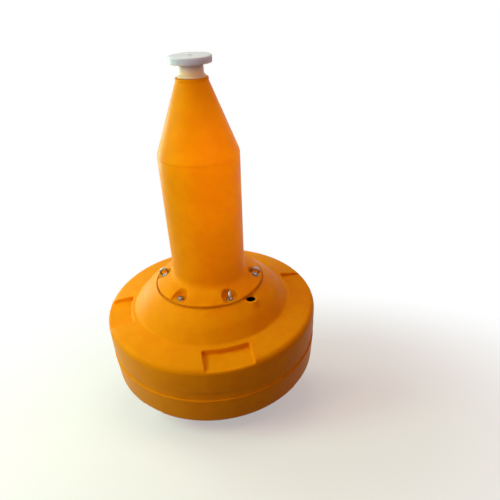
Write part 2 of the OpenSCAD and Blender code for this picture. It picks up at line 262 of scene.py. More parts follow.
wanted += [(0, SEAM_R + d, HILL_Z, SEAT_Z + 1) for d in near_seam]
rows = rows_on(float_outline, 40, wanted)
rows = rows[(rows[:, 0] > 0) | (rows[:, 1] == 0) | (rows[:, 1] == SEAT_Z)]

marks = [PORT_TURN + m / PORT_AT for m in port_marks]
marks += edge_marks(0, 4, RECESS_HALF, edge_stops() + [13, 22, -12], RECESS_REF)
marks += edge_marks(QUARTER / 2, 4, NOTCH_HALF, notch_stops + [-12], NOTCH_REF)
columns = columns_at(marks, math.radians(3.0))
R, T, Z = net(rows, columns)
radius, turn, height = R, T.copy(), Z
deck = float_outline[float_outline[:, 1] > SHOULDER_Z - 30]
print("float net:", len(rows), "rows,", len(columns), "columns")

# %% [markdown]
# A deck recess stiffens the moulding and is a step for a foot. It has parallel sides, an inner wall
# concentric with the float and a level floor that runs out to the rim. The columns of the net
# spread outwards, so near a recess they are first bent parallel, and then the skin is pushed down.

# %% Deck recesses
upper = Z > BELT_HIGH + 3
corner_size = RECESS_ROUND + LIP
for k in range(4):
    u = RECESS_REF * wrapped(T - k * QUARTER)
    out_a = np.clip(np.abs(u) - (RECESS_HALF - RECESS_ROUND), 0, None)
    out_b = np.clip(RECESS_IN + RECESS_ROUND - R, 0, None)
    in_a, in_b, size = drawn_in(out_a, out_b, corner_size, corner_size + 24)
    corner = (out_a > 0) & (out_b > 0) & (size < corner_size + 24) & upper
    new_u = np.where(corner, np.sign(u) * (RECESS_HALF - RECESS_ROUND + in_a), u)
    new_r = np.where(corner, RECESS_IN + RECESS_ROUND - in_b, R)
    lift = fade(500 - Z, 0, 110) * fade(np.abs(u), 150, 300) * fade(HILL_R - R, 5, 70)
    asked = np.arcsin(np.clip(new_u / np.maximum(new_r, HILL_R), -0.9, 0.9))
    turn += lift * np.where(upper, asked - u / RECESS_REF, 0)
    radius = np.where(corner, new_r, radius)
    height = np.where(corner, on_slope(deck, new_r), height)
    inside = np.minimum(RECESS_HALF - np.abs(u), R - RECESS_IN)
    pressed = height - sunk(inside, above(height - RECESS_Z, 4))
    height = np.where(upper & (R > HILL_R - 20), pressed, height)
print("recesses: 4, floor at", RECESS_Z)

# %% [markdown]
# A notch under the chine gives a fork or a strap something to hold. It is a step with a level roof
# and an upright back wall, so here the skin is pushed in towards the axis and not down.

# %% Notches under the chine
below = Z < 215
for k in range(4):
    middle = (k + 0.5) * QUARTER
    u = NOTCH_REF * wrapped(T - middle)
    asked = np.arcsin(np.clip(u / np.maximum(R, 400), -0.9, 0.9))
    lift = fade(np.abs(u), 75, 150) * fade(Z, 190, 215)
    turn += np.where(below, lift * (asked - u / NOTCH_REF), 0)
    side, out = radius * np.sin(asked), radius * np.cos(asked)
    bend = np.clip(np.abs(u) - NOTCH_HALF + NOTCH_ROUND, 0, NOTCH_ROUND) / NOTCH_ROUND
    back_wall = NOTCH_IN + NOTCH_ROUND * (1 - np.sqrt(1 - bend ** 2))
    inside = np.minimum(NOTCH_HALF - np.abs(u), NOTCH_Z - Z)
    push = sunk(inside, above(out - back_wall, 3), NOTCH_LIP, NOTCH_LIP)
    radius, turn = put(below & (push > 0), middle, out - push, side)
print("notches: 4, roof at", NOTCH_Z)

# %% [markdown]
# The collar stands in a shallow groove with a low lip outside it, so a dark line runs round the
# seam. The port beside the seam is a round hole in a level face, on a boss that grows out of the
# hill. The whole neighbourhood of the hole is drawn in to circles before the boss is raised.

# %% Seam groove and port
around = np.where(Z > HILL_Z, R, 0)
height = height - 5.0 * fade(np.abs(around - SEAM_R), 2.0, 5.0)
height = height + 1.5 * fade(np.abs(around - SEAM_R - 8), 0.5, 4.5)

u, v = PORT_AT * wrapped(T - PORT_TURN), R - PORT_AT
on_hill = (Z > HILL_Z) & (R > 200)
new_u, new_v, size = drawn_in(u, v, 46, 62)
near = np.where(on_hill, fade(size, 46, 62), 0)
x = (1 - near) * R * np.cos(u / PORT_AT) + near * (PORT_AT + new_v)
y = (1 - near) * R * np.sin(u / PORT_AT) + near * new_u
radius, turn = put(near > 0, PORT_TURN, x, y)
ground = np.where(near > 0, on_slope(deck, radius), height)
boss = PORT_Z - (size - PORT_FACE_R) * BOSS_DROP / (BOSS_R - PORT_FACE_R)
raised = ground + above(boss - ground, 9)
faced = raised + (PORT_Z - raised) * fade(size, PORT_FACE_R - 1, PORT_FACE_R + 3)
holed = faced - sunk(PORT_R - size, np.full_like(size, PORT_WALL), 2, 0.5)
height = np.where(near > 0, holed, height)
print("port: radius", PORT_R, "at height", PORT_Z)

# %% [markdown]
# Through the port one looks into the hollow float. All that can be seen is a chamber that widens
# under the wall and leans towards the axis. Its faces are marked for a finish of painted shade.

# %% The chamber under the port, and the float's skin
hollow = on_hill & (size < PORT_R - 1)
stops = [0, 8, 15, 20, 23.5]
wide = np.interp(size, stops, [0, 80, 105, 62, 27]) / np.maximum(size, 1e-6)
toward = np.interp(size, stops, [95, 95, 85, 40, 2])
deep = np.interp(size, stops, [290, 270, 150, 60, 10])
radius, turn = put(hollow, PORT_TURN, PORT_AT - toward + new_v * wide, new_u * wide)
height = np.where(hollow, PORT_Z - deep, height)
float_skin = declared(skin("float_skin", radius, turn, height), ["float_hull"])

dark = on_hill & (size < PORT_R)
shut = dark[1:-2] & dark[2:-1]
fan = np.zeros(len(columns), int)
inside_faces = np.r_[fan, (shut & np.roll(shut, -1, 1)).ravel().astype(int), fan]

# %% [markdown]
# The tower is a second moulding: a collar with six scalloped pockets for the bolts, a long drum
# that widens a little upwards, and a cone with a low rim. Its net is made the same way.

# %% The tower's outline and its net
COLLAR_R, COLLAR_EDGE, DRUM_FOOT_R, DRUM_Z = 297, 15, 200, 747
DRUM_TOP_R, CONE_Z, TOP_R, TOP_Z, RIM_Z = 206, 1427, 77, 1782, 1770
EYE_COUNT, EYE_AT, EYE_START, SIXTH = 6, 262, math.radians(75), math.pi / 3
POCKET_R, POCKET_Z, POCKET_LIP, PARTING_Z = 42, 691, 6, 1418

tower_outline = rounded([
    (0, SEAT_Z, 0), (COLLAR_R, SEAT_Z, 6), (COLLAR_R, SEAT_Z + COLLAR_EDGE, 8),
    (DRUM_FOOT_R, DRUM_Z, 42), (DRUM_TOP_R, CONE_Z, 60),
    (TOP_R, RIM_Z - 3, 3), (TOP_R + 1.5, RIM_Z + 1, 3), (TOP_R + 0.5, TOP_Z - 1, 5),
    (TOP_R - 6, TOP_Z - 1, 2), (TOP_R - 8.5, TOP_Z - 3, 1), (0, TOP_Z - 3, 0)], 10)
pocket_stops = edge_stops(POCKET_LIP, POCKET_LIP) + [10, 16, 24, 33, -10, -14, -18]
pocket_rows = [EYE_AT - POCKET_R + d for d in pocket_stops] + [262, 268, 275, 282]
wanted = [(0, r, SEAT_Z + 12, DRUM_Z + 20) for r in pocket_rows]
wanted += [(1, PARTING_Z + d, 1300, 1500) for d in (-9, -4, -1.5, 0, 1.5, 4, 9)]
rows = rows_on(tower_outline, 60, wanted)
marks = edge_marks(EYE_START, EYE_COUNT, POCKET_R, pocket_stops + [42], EYE_AT)
columns = columns_at(marks, math.radians(2.5))
R, T, Z = net(rows, columns)
radius, turn, height = R, T.copy(), Z
collar = tower_outline[(tower_outline[:, 1] > SEAT_Z + 6) & (tower_outline[:, 1] < DRUM_Z + 24)]
print("tower net:", len(rows), "rows,", len(columns), "columns")

# %% [markdown]
# A pocket lets a spanner reach its bolt. It is open outwards and ends in a half circle towards the
# axis, so the squares of the net are drawn in to circles on that side only. Under the cone the two
# halves of the mould met, which leaves a faint crease round the drum.

# %% The tower's pockets and its skin
low = (Z < DRUM_Z + 24) & (R > DRUM_FOOT_R - 1)
for k in range(EYE_COUNT):
    middle = EYE_START + k * SIXTH
    u, v = EYE_AT * wrapped(T - middle), np.clip(EYE_AT - R, 0, None)
    new_u, new_v, size = drawn_in(u, v, POCKET_R + 6, POCKET_R + 18)
    inner = R < EYE_AT
    from_middle = np.where(inner, size, np.abs(u))
    flat = np.clip((R - EYE_AT) / (COLLAR_R - 9 - EYE_AT), 0, 1)
    x = np.where(inner, EYE_AT - new_v, R - (R - np.sqrt(np.clip(R ** 2 - u ** 2, 0, None))) * flat)
    y = np.where(inner, new_u, u)
    near = np.where(low, fade(from_middle, POCKET_R + 6, POCKET_R + 18), 0)
    x = (1 - near) * R * np.cos(u / EYE_AT) + near * x
    y = (1 - near) * R * np.sin(u / EYE_AT) + near * y
    radius, turn = put(near > 0, middle, x, y)
    ground = height + on_slope(collar, radius) - on_slope(collar, R)
    pressed = ground - sunk(POCKET_R - from_middle, above(ground - POCKET_Z, 2.5), POCKET_LIP, POCKET_LIP)
    height = np.where(near > 0, pressed, height)
radius = radius - 1.2 * fade(np.abs(Z - PARTING_Z), 0, 4)
tower_skin = declared(skin("tower_skin", radius, turn, height), ["tower"])

# %% [markdown]
# Now the finishes. The float and the tower are moulded from one coloured plastic powder, so their
# colour goes right through. What breaks it up is a fine dull grain from the mould, slow waves where
# the wall cooled unevenly, a film of dust on what faces up, and pale rubs from handling. A painted
# picture would need unwrapping. Noise in space needs none, and it runs on round every edge. What
# several finishes share is made once, as node groups.

# %% Helpers for node trees
class Nodes:
    """A node tree and short ways to fill it. tree["Place"] is the tree's own input of that name."""

    def __init__(self, tree, inputs={}, outputs={}):
        """An input is given as its first value or as its kind of socket, an output as its kind."""
        tree.nodes.clear()
        self.tree = tree
        for way, sockets in (("INPUT", inputs), ("OUTPUT", outputs)):
            for label, kind in sockets.items():
                number = isinstance(kind, float)
                socket = tree.interface.new_socket(label.replace("_", " "), in_out=way,
                                                   socket_type="NodeSocket" + ("Float" if number else kind))
                if number:
                    socket.default_value = kind
        if outputs:
            self.given, self.result = self.add("NodeGroupInput").outputs, self.add("NodeGroupOutput")

    def __getitem__(self, label):
        return self.given[label]

    def fill(self, node, *first, **named):
        """Fills inputs in order or by name: a node or a socket is linked, a value is set."""
        for key, value in [*enumerate(first), *named.items()]:
            socket = node.inputs[key.replace("_", " ") if isinstance(key, str) else key]
            if isinstance(value, bpy.types.Node):
                value = value.outputs[0]
            if isinstance(value, bpy.types.NodeSocket):
                self.tree.links.new(value, socket)
            else:
                socket.default_value = value
        return node

    def add(self, kind, *first, **named):
        """A new node, "Bump" for ShaderNodeBump. A name in small letters is a setting, else an input."""
        node = self.tree.nodes.new(kind if "Node" in kind else self.tree.bl_idname[:-4] + kind)
        for key in [key for key in named if key.islower()]:
            setattr(node, key, named.pop(key))
        return self.fill(node, *first, **named)

    def give(self, **outputs):
        """Fills the tree's own outputs, and hands the tree over."""
        self.fill(self.result, **outputs)
        print("tree:", self.tree.name)
        return self.tree

    def math(self, operation, *numbers):
        return self.add("ShaderNodeMath", *numbers, operation=operation)

    def noise(self, place, scale, detail, rough=0.5):
        return self.add("TexNoise", Vector=place, Scale=scale, Detail=detail, Roughness=rough)

    def spread(self, value, low, high, to_low=0.0, to_high=1.0):
        """A value spread smoothly from low..high to to_low..to_high."""
        return self.add("MapRange", value, low, high, to_low, to_high, interpolation_type="SMOOTHSTEP")

    def mix(self, factor, low, high):
        """A colour mixed from two."""
        return self.add("Mix", Factor=factor, A=low, B=high, data_type="RGBA").outputs["Result"]

    def coat(self, color, mask, share, over):
        """The colour, with a share of another over it where the mask is 1."""
        return self.mix(self.math("MULTIPLY", mask, share), color, over)

# %% [markdown]
# The first group is the grain. It takes the size of the grain and how deep it is, both in metres,
# and puts out a bent normal and a slow tone. A second noise adds the long waves of a cooled wall.

# %% Shared group: moulded grain
tree = Nodes(bpy.data.node_groups.new("moulded_grain", "ShaderNodeTree"),
             dict(Place="Vector", Grain_size=0.002, Grain_depth=0.00005, Wave_depth=0.0004),
             dict(Normal="Vector", Tone="Float"))
fine = tree.noise(tree["Place"], tree.math("DIVIDE", 1.0, tree["Grain size"]), 2.0)
waves = tree.add("Bump", Height=tree.noise(tree["Place"], 5.0, 1.0), Distance=tree["Wave depth"])
grains = tree.add("Bump", Height=fine, Distance=tree["Grain depth"], Normal=waves)
grain_group = tree.give(Normal=grains, Tone=tree.noise(tree["Place"], 13.0, 5.0, 0.6))

# %% [markdown]
# The second group is what storage leaves behind: dust where the surface faces up, and rubs, which
# are long streaks in patches. Both come out as masks from 0 to 1, and each finish decides what
# colour and roughness they give. Which way is up comes from the surface's normal in the world.

# %% Shared group: dust and rubs
tree = Nodes(bpy.data.node_groups.new("dust_and_rubs", "ShaderNodeTree"),
             dict(Place="Vector", Seed=0.0), dict(Dust="Float", Rubs="Float"))
moved = tree.add("VectorMath", tree["Place"], tree["Seed"], operation="ADD")
normal = tree.add("NewGeometry").outputs["Normal"]
facing_up = tree.add("SeparateXYZ", normal).outputs["Z"]
clouds = tree.noise(moved, 7.0, 6.0, 0.62)
dust = tree.math("MULTIPLY", tree.spread(facing_up, 0.15, 0.9), tree.spread(clouds, 0.38, 0.72))
long_way = tree.add("Mapping", Vector=moved, Scale=(9.0, 9.0, 150.0), Rotation=(0.5, 0.35, 0.9))
streaks, patches = tree.noise(long_way, 1.0, 3.0), tree.noise(moved, 3.3, 2.0)
rubs = tree.math("MULTIPLY", tree.spread(streaks, 0.62, 0.70), tree.spread(patches, 0.52, 0.66))
wear_group = tree.give(Dust=dust, Rubs=rubs)

# %% [markdown]
# Where two mouldings meet, the groove lies in shade, and that shade is painted in. A third group gives
# a mask near a ring round the buoy's axis, from the ring's radius and height and the width of the
# painted shade, all in metres. Seen in a plane through the axis, the ring is one point, so the mask
# is a distance from it.

# %% Shared group: painted shade in a seam
tree = Nodes(bpy.data.node_groups.new("seam_dirt", "ShaderNodeTree"),
             dict(Place="Vector", Radius=0.3, Height=0.68, Width=0.006), dict(Dirt="Float"))
flat = tree.add("VectorMath", tree["Place"], (1, 1, 0), operation="MULTIPLY")
across = tree.add("VectorMath", flat, operation="LENGTH").outputs["Value"]
here = tree.add("CombineXYZ", across, tree.add("SeparateXYZ", tree["Place"]).outputs["Z"])
ring = tree.add("CombineXYZ", tree["Radius"], tree["Height"])
away = tree.add("VectorMath", here, ring, operation="DISTANCE").outputs["Value"]
seam_shade_group = tree.give(Dirt=tree.spread(tree.math("DIVIDE", away, tree["Width"]), 0.5, 1.0, 1.0, 0.0))

# %% [markdown]
# Every finish starts in the same way: an empty material with a Principled shader, and the place in
# the buoy's upright frame, so that heights and rings are easy to write. The grain is added to all.

# %% A finish's first nodes
def node_material(name, size, depth, wave=0.0004):
    """A material, its tree, its shader, its place in upright metres and the grain's tone."""
    material = bpy.data.materials.new(name)
    material.use_nodes = True
    tree = Nodes(material.node_tree)
    shader = tree.add("BsdfPrincipled")
    tree.add("OutputMaterial", shader)
    place = tree.add("Mapping", Vector=tree.add("TexCoord").outputs["Object"], vector_type="TEXTURE",
                     Location=tuple(lie_down.translation), Rotation=(lean, 0, 0))
    grain = tree.add("Group", node_tree=grain_group, Place=place, Grain_size=size, Grain_depth=depth,
                     Wave_depth=wave).outputs
    tree.fill(shader, Normal=grain["Normal"])
    print("finish:", name)
    return material, tree, shader, place, grain["Tone"]

# %% [markdown]
# The orange is a strong one. Light goes a little way into the plastic and comes out redder, which
# softens the small edges, so the shader gets some subsurface with a long red reach. Its red is
# written under 1 and its blue near 0, as a pigment has them, and the lamps do the rest. The dull
# skin mirrors little, and what it does mirror is warm, so the gloss is low and tinted.

# %% Orange plastic
ORANGE, ORANGE_LOW, SEAM_SHADE = (0.84, 0.282, 0.001, 1), (0.80, 0.250, 0.001, 1), (0.36, 0.075, 0.002, 1)
DUSTY_ORANGE, RUBBED_ORANGE = (0.86, 0.43, 0.012, 1), (0.87, 0.36, 0.008, 1)

def orange_plastic(name, seed, seams):
    """The moulded orange, with painted shade in seams of (radius, height, width, share)."""
    material, tree, shader, place, tone = node_material(name, 0.0022, 0.00006, 0.0006)
    wear = tree.add("Group", node_tree=wear_group, Place=place, Seed=seed).outputs
    color = tree.mix(tree.spread(tone, 0.3, 0.7), ORANGE_LOW, ORANGE)
    color = tree.coat(color, wear["Dust"], 0.16, DUSTY_ORANGE)
    color = tree.coat(color, wear["Rubs"], 0.30, RUBBED_ORANGE)
    # Painted shade: the colour darkens near each seam ring, where the groove lies in shade.
    for radius, height, width, share in seams:
        seam = tree.add("Group", node_tree=seam_shade_group, Place=place, Radius=radius, Height=height, Width=width)
        color = tree.coat(color, seam, share, SEAM_SHADE)
    rough = tree.math("MULTIPLY_ADD", wear["Dust"], 0.22, tree.spread(tone, 0.3, 0.7, 0.36, 0.46))
    tree.fill(shader, Base_Color=color, Roughness=tree.math("MULTIPLY_ADD", wear["Rubs"], -0.08, rough),
              Specular_IOR_Level=0.06, Specular_Tint=(1.0, 0.70, 0.12, 1), Subsurface_Weight=0.25,
              Subsurface_Radius=(1.0, 0.25, 0.05), Subsurface_Scale=0.012)
    return material

# Painted shade in the float's collar seam and under the belt's upper lip, and in the tower's collar seam.
float_finish = orange_plastic("float_orange", 0.0, [(0.3000, 0.6810, 0.0100, 0.40), (0.5940, 0.3835, 0.0070, 0.45)])
tower_finish = orange_plastic("tower_orange", 3.7, [(0.2990, 0.6830, 0.0080, 0.40)])

# %% [markdown]
# Inside, the float is dark: hardly any light gets in by the port. The chamber modelled under the
# port is small, so its faces get a near-black colour of their own, painted shade that makes it look
# as deep as the real one.

# %% Painted shade inside the float
inside_painted_shade, tree, shader, place, tone = node_material("inside_float", 0.004, 0.0002)
tree.fill(shader, Base_Color=tree.mix(tone, (0.030, 0.006, 0.003, 1), (0.055, 0.010, 0.004, 1)),
          Roughness=0.8, Specular_IOR_Level=0.1)

# %% [markdown]
# The lantern's seat is turned from a milky plastic that light goes deep into. The orange under it
# shines up through its foot, and that warm glow is painted into its colour as painted light: warm
# below, fading out towards the flange, which stays cool. The painted glow follows the height over
# the float's bottom.

# %% Milky plastic
milky_finish, tree, shader, place, tone = node_material("milky_white", 0.0016, 0.00003, 0.0001)
dust = tree.add("Group", node_tree=wear_group, Place=place, Seed=8.1)
up_z = tree.add("SeparateXYZ", place).outputs["Z"]
color = tree.mix(tree.spread(tone, 0.3, 0.7), (0.54, 0.560, 0.72, 1), (0.59, 0.610, 0.78, 1))
# Painted light: a warm orange glow painted into the colour below the flange.
color = tree.coat(color, tree.spread(up_z, 1.790, 1.860, 1.0, 0.0), 0.85, (0.94, 0.60, 0.32, 1))
color = tree.coat(color, dust, 0.25, (0.52, 0.50, 0.46, 1))
tree.fill(shader, Base_Color=color, Roughness=tree.spread(tone, 0.3, 0.7, 0.36, 0.46), Specular_IOR_Level=0.2,
          Subsurface_Weight=1.0, Subsurface_Radius=(1.0, 0.9, 0.85), Subsurface_Scale=0.035)

# %% [markdown]
# The metal is of two kinds. The lifting eyes, the bolt and the washers are bright stainless steel
# with fine marks of forging and turning. The weight and the lug are dipped in zinc, which sets in
# crystals, so their grey comes in cells of slightly different tone. A Voronoi texture gives those.

# %% Steel and zinc
def stainless(name, color, rough):
    """Bright steel of that colour and roughness."""
    material, tree, shader, place, tone = node_material(name, 0.0006, 0.00002, 0.0)
    dull = tuple(0.86 * c for c in color)
    tree.fill(shader, Base_Color=tree.mix(tree.spread(tone, 0.35, 0.65), dull + (1,), color + (1,)),
              Metallic=1.0, Roughness=tree.spread(tone, 0.3, 0.7, rough - 0.05, rough + 0.09))
    return material

def zinc(name, cell, depth):
    """A zinc coat with crystals of that size, on a surface that is rough to that depth, in metres."""
    material, tree, shader, place, tone = node_material(name, 0.003, depth, depth * 2)
    cells = tree.add("TexVoronoi", Vector=place, Scale=1 / cell).outputs["Color"]
    crystal = tree.add("SeparateColor", cells).outputs
    tint = tree.mix(crystal["Red"], (0.36, 0.38, 0.40, 1), (0.52, 0.54, 0.56, 1))
    tint = tree.mix(tree.spread(tone, 0.55, 0.75, 0.0, 0.5), tint, (0.30, 0.29, 0.27, 1))
    tree.fill(shader, Base_Color=tint, Metallic=0.75,
              Roughness=tree.spread(crystal["Green"], 0.0, 1.0, 0.38, 0.58))
    return material

eye_finish = stainless("eye_stainless", (0.34, 0.32, 0.30), 0.17)
washer_finish = stainless("washer_stainless", (0.34, 0.325, 0.31), 0.20)
weight_finish = zinc("weight_zinc", 0.011, 0.0005)
lug_finish = zinc("lug_zinc", 0.006, 0.0002)

# %% [markdown]
# Most of the small pieces are turned on a lathe, so one helper makes them: rows of a radius and a
# height, closed into a solid, or round a bore. A row's radius may also change round the axis, and
# then the same helper makes a hexagon, a chamfered nut, a thread or the flat lug of the mooring.

# %% Turned and six-sided shapes
def turned(name, rows, count=48, bored=False, turns=None):
    """A mesh in metres, turned about Z, from rows of (radius, height) in millimetres, upwards."""
    turns = np.arange(count) * 2 * math.pi / count if turns is None else turns
    count = len(turns)
    rings = []
    for radius, height in rows:
        radius, height = np.broadcast_to(radius, count), np.broadcast_to(height, count)
        rings.append(np.stack([radius * np.cos(turns), radius * np.sin(turns), height], axis=-1))
    at = lambda r, c: r * count + c % count
    band = lambda r, s: [(at(r, c), at(r, c + 1), at(s, c + 1), at(s, c)) for c in range(count)]
    if bored:
        points = np.concatenate(rings)
        faces = [face for r in range(len(rows)) for face in band(r, (r + 1) % len(rows))]
    else:
        points = np.concatenate(rings[1:-1] + [rings[0][:1], rings[-1][:1]])
        low, high, last = len(points) - 2, len(points) - 1, len(rows) - 3
        faces = [(low, at(0, c + 1), at(0, c)) for c in range(count)]
        faces += [(at(last, c), at(last, c + 1), high) for c in range(count)]
        faces += [face for r in range(last) for face in band(r, r + 1)]
    mesh = bpy.data.meshes.new(name)
    mesh.from_pydata((points / 1000).tolist(), [], faces)
    mesh.shade_smooth()
    mesh.set_sharp_from_angle(angle=math.radians(35))
    return mesh

def bevelled(outline, steps):
    """A closed outline (radius, height, rounding) of a bored piece, its corners rounded off."""
    loop = outline + outline[:1]
    return [tuple(p) for i in range(len(outline))
            for p in rounded([outline[i - 1], outline[i], loop[i + 1]], steps)[1:-1]]

def hexagon_rows(corner_r, low, high, face_r, count, bore=None):
    """Rows of a hexagon with both ends chamfered, round a bore or solid and slightly crowned."""
    turns = np.arange(count) * 2 * math.pi / count
    hexagon = corner_r * math.cos(math.pi / 6) / np.cos((turns % SIXTH) - math.pi / 6)
    drop = (hexagon - face_r) * math.tan(math.radians(30))
    side = [(face_r, low), (hexagon, low + drop), (hexagon, high - drop), (face_r, high)]
    if bore is None:
        return [(0, low)] + side + [(face_r * 0.6, high + 0.25), (0, high + 0.35)]
    return [(bore, low + 0.8), (bore + 0.8, low)] + side + [(bore + 0.8, high), (bore, high - 0.8)]

def thread_rows(radius, low, high, pitch, depth, count):
    """Rows of a thread, whose crest climbs by the pitch in one turn."""
    climb = np.arange(count) / count
    heights = np.arange(low, high + 0.01, pitch / 5)
    return [(radius - depth * np.abs(((z / pitch - climb) % 1) * 2 - 1), z) for z in heights]

# %% [markdown]
# The fasteners stand in rings: six round the collar, six under the weight. Each ring is a handful
# of points, and every point knows which way its bolt stands and how it is turned. Geometry Nodes
# then puts a copy on each point, realizes the copies and gives them their finish.

# %% Places of the fasteners
def ring_of_places(radius, height, azimuths, twists):
    """Points on a ring, laid down with the buoy, with the directions of their bolts as attributes."""
    rest = np.array(lie_down.to_3x3())
    azimuths, twists = np.asarray(azimuths), np.radians(twists)
    outward = np.stack([np.sin(azimuths), -np.cos(azimuths), 0 * azimuths], -1)
    round_way = np.stack([np.cos(azimuths), np.sin(azimuths), 0 * azimuths], -1)
    along = np.cos(twists)[:, None] * outward + np.sin(twists)[:, None] * round_way
    mesh = bpy.data.meshes.new("places")
    mesh.from_pydata(lay(outward * radius + [0, 0, height]).tolist(), [], [])
    for label, way in (("up", np.tile([0.0, 0, 1], (len(azimuths), 1))), ("along", along)):
        attribute = mesh.attributes.new(label, "FLOAT_VECTOR", "POINT")
        attribute.data.foreach_set("vector", (way @ rest.T).ravel())
    return mesh

def places_tree(name, **inputs):
    """A tree with a Places input, the named inputs and a Finish."""
    return Nodes(bpy.data.node_groups.new(name, "GeometryNodeTree"),
                 dict(Places="Geometry", **inputs, Finish="Material"), dict(Geometry="Geometry"))

def stand_on_places(tree, shape):
    """Copies the shape to every place, turned by the place's own directions, as one real mesh."""
    up, along = (tree.add("InputNamedAttribute", label, data_type="FLOAT_VECTOR") for label in ("up", "along"))
    turn_to = tree.add("FunctionNodeAxesToRotation", up, along, primary_axis="Z", secondary_axis="X")
    copies = tree.add("InstanceOnPoints", Points=tree["Places"], Instance=shape, Rotation=turn_to)
    real = tree.add("RealizeInstances", copies)
    return tree.give(Geometry=tree.add("SetMaterial", Geometry=real, Material=tree["Finish"]))

# %% [markdown]
# A washer is a ring of flat bar with softened edges: a rounded rectangle swept round a circle. Its
# four sizes are inputs, so the wide washers of the collar and the small ones below share the tree.

# %% Tree: washers
tree = places_tree("washers_on_places", Hole_radius=0.009, Outer_radius=0.018, Thickness=0.003, Edge=0.0005)
hole, outer, thick = tree["Hole radius"], tree["Outer radius"], tree["Thickness"]
middle = tree.math("MULTIPLY", tree.math("ADD", hole, outer), 0.5)
path = tree.add("CurvePrimitiveCircle", Resolution=48, Radius=middle)
square = tree.add("CurvePrimitiveQuadrilateral", Width=tree.math("SUBTRACT", outer, hole), Height=thick)
soft = tree.add("FilletCurve", Curve=square, Radius=tree["Edge"], Count=2, mode="POLY")
lift = tree.add("ShaderNodeCombineXYZ", Z=tree.math("MULTIPLY", thick, 0.5))
raised = tree.add("Transform", Geometry=tree.add("CurveToMesh", path, soft), Translation=lift)
washer_tree = stand_on_places(tree, tree.add("SetShadeSmooth", raised, Shade_Smooth=False))

# %% [markdown]
# A lifting eye is forged in one piece: a ring of round bar on a turned foot and shank. The ring is
# swept in the tree, from the radius of its hole and of its bar, and joined with the turned shank.
# Anything else that stands in a ring needs only a tree that copies the shape it is given.

# %% Trees: lifting eyes and copies
tree = places_tree("eyes_on_places", Hole_radius=0.015, Bar_radius=0.006, Centre_height=0.0266, Shank="Object")
middle = tree.math("ADD", tree["Hole radius"], tree["Bar radius"])
path = tree.add("CurvePrimitiveCircle", Resolution=64, Radius=middle)
bar = tree.add("CurvePrimitiveCircle", Resolution=20, Radius=tree["Bar radius"])
smooth = tree.add("SetShadeSmooth", tree.add("CurveToMesh", path, bar))
lift = tree.add("ShaderNodeCombineXYZ", Z=tree["Centre height"])
upright = tree.add("Transform", Geometry=smooth, Translation=lift, Rotation=(math.pi / 2, 0, 0))
shank = tree.add("ObjectInfo", tree["Shank"]).outputs["Geometry"]
both = tree.fill(tree.add("JoinGeometry", shank), upright)
eye_tree = stand_on_places(tree, both)

tree = places_tree("copies_on_places", Shape="Object")
copy_tree = stand_on_places(tree, tree.add("ObjectInfo", tree["Shape"]).outputs["Geometry"])

# %% [markdown]
# A tree runs as a modifier on its places. Its inputs are set by the identifiers of their sockets,
# then the result is taken off as a plain mesh, and the places and the modifier are thrown away.

# %% Run a tree and keep a plain mesh
def grown(name, tree, places, nodes, slot, **values):
    """The piece that a tree makes on its places, with its inputs set by name."""
    holder = object_of(name + "_places", places)
    modifier = holder.modifiers.new("grow", "NODES")
    modifier.node_group = tree
    helpers = [holder]
    for socket in tree.interface.items_tree:
        value = values.get(socket.name.replace(" ", "_"))
        if socket.in_out == "INPUT" and value is not None:
            if isinstance(value, bpy.types.Mesh):
                value = object_of(name + "_shape", value)
                helpers.append(value)
            modifier[socket.identifier] = value
    bpy.context.view_layer.update()
    mesh = bpy.data.meshes.new_from_object(holder.evaluated_get(bpy.context.evaluated_depsgraph_get()))
    mesh.name = name
    mesh.materials.clear()
    mesh.materials.append(values["Finish"])
    mesh.polygons.foreach_set("material_index", [0] * len(mesh.polygons))
    for helper in helpers:
        bpy.data.objects.remove(helper)
    return declared(object_of(name, mesh), nodes)

def placed(name, mesh, nodes, finish):
    """A single piece: an upright mesh in metres, laid down with the buoy."""
    mesh.transform(lie_down)
    mesh.materials.append(finish)
    return declared(object_of(name, mesh), nodes)

# %% [markdown]
# The bolts of the collar hold the tower on the float. Five are lifting eyes: a forged ring on a
# collar, over a shank that goes down into a nut moulded in the float. In one pocket a plain hexagon
# bolt stands in for the eye. Under each lies a washer on the pocket's floor. Every eye stops at its
# own angle when it is tight, so each has its own twist, in degrees.

# %% Lifting eyes, plain bolt and washers
EYE_TWISTS, PLAIN, WASHER_T = [3, 32, -20, 6, 30, -27], 4, 3
WASHER = dict(Hole_radius=0.0084, Thickness=WASHER_T / 1000, Edge=0.0005)

def collar_places(which, height):
    """Places in the pockets of those numbers, at a height over the pockets' floors."""
    azimuths = [EYE_START + ROLL + i * SIXTH for i in which]
    return ring_of_places(EYE_AT, POCKET_Z + height, azimuths, [EYE_TWISTS[i] for i in which])

shank = turned("shank", rounded([
    (0, -70, 0), (7, -70, 0.2), (8, -69, 0.2), (8, 0, 0.3), (13, 0, 0.5), (14, 1.2, 1), (13.4, 6.2, 2),
    (8.5, 8, 2), (7, 10.5, 2), (0, 11, 0)], 3), 40)
head_rows = [(0, -70), (7, -70), (8, -69), (8, -0.01), (14.0, 0), (14.0, 0.6)]
head = turned("head", head_rows + hexagon_rows(16.5, 0.6, 12.65, 13.4, 48)[1:], 48)
grown("pocket_washers", washer_tree, collar_places(range(EYE_COUNT), 0), ["eye_washers"], "stainless",
      **WASHER, Outer_radius=0.018, Finish=washer_finish)
eyes = [i for i in range(EYE_COUNT) if i != PLAIN]
grown("lifting_eyes", eye_tree, collar_places(eyes, WASHER_T), ["eye_bolts"], "stainless",
      Hole_radius=0.015, Bar_radius=0.006, Centre_height=0.0266, Shank=shank, Finish=eye_finish)
grown("hexagon_bolt", copy_tree, collar_places([PLAIN], WASHER_T), ["plain_bolt"], "stainless",
      Shape=head, Finish=eye_finish)

# %% [markdown]
# Under the float hangs a cast weight that keeps the buoy upright afloat. It is a thick ring on six
# studs. The studs' ends show below their nuts, so they carry a real thread. Nobody lines nuts up,
# so each is turned a little differently.

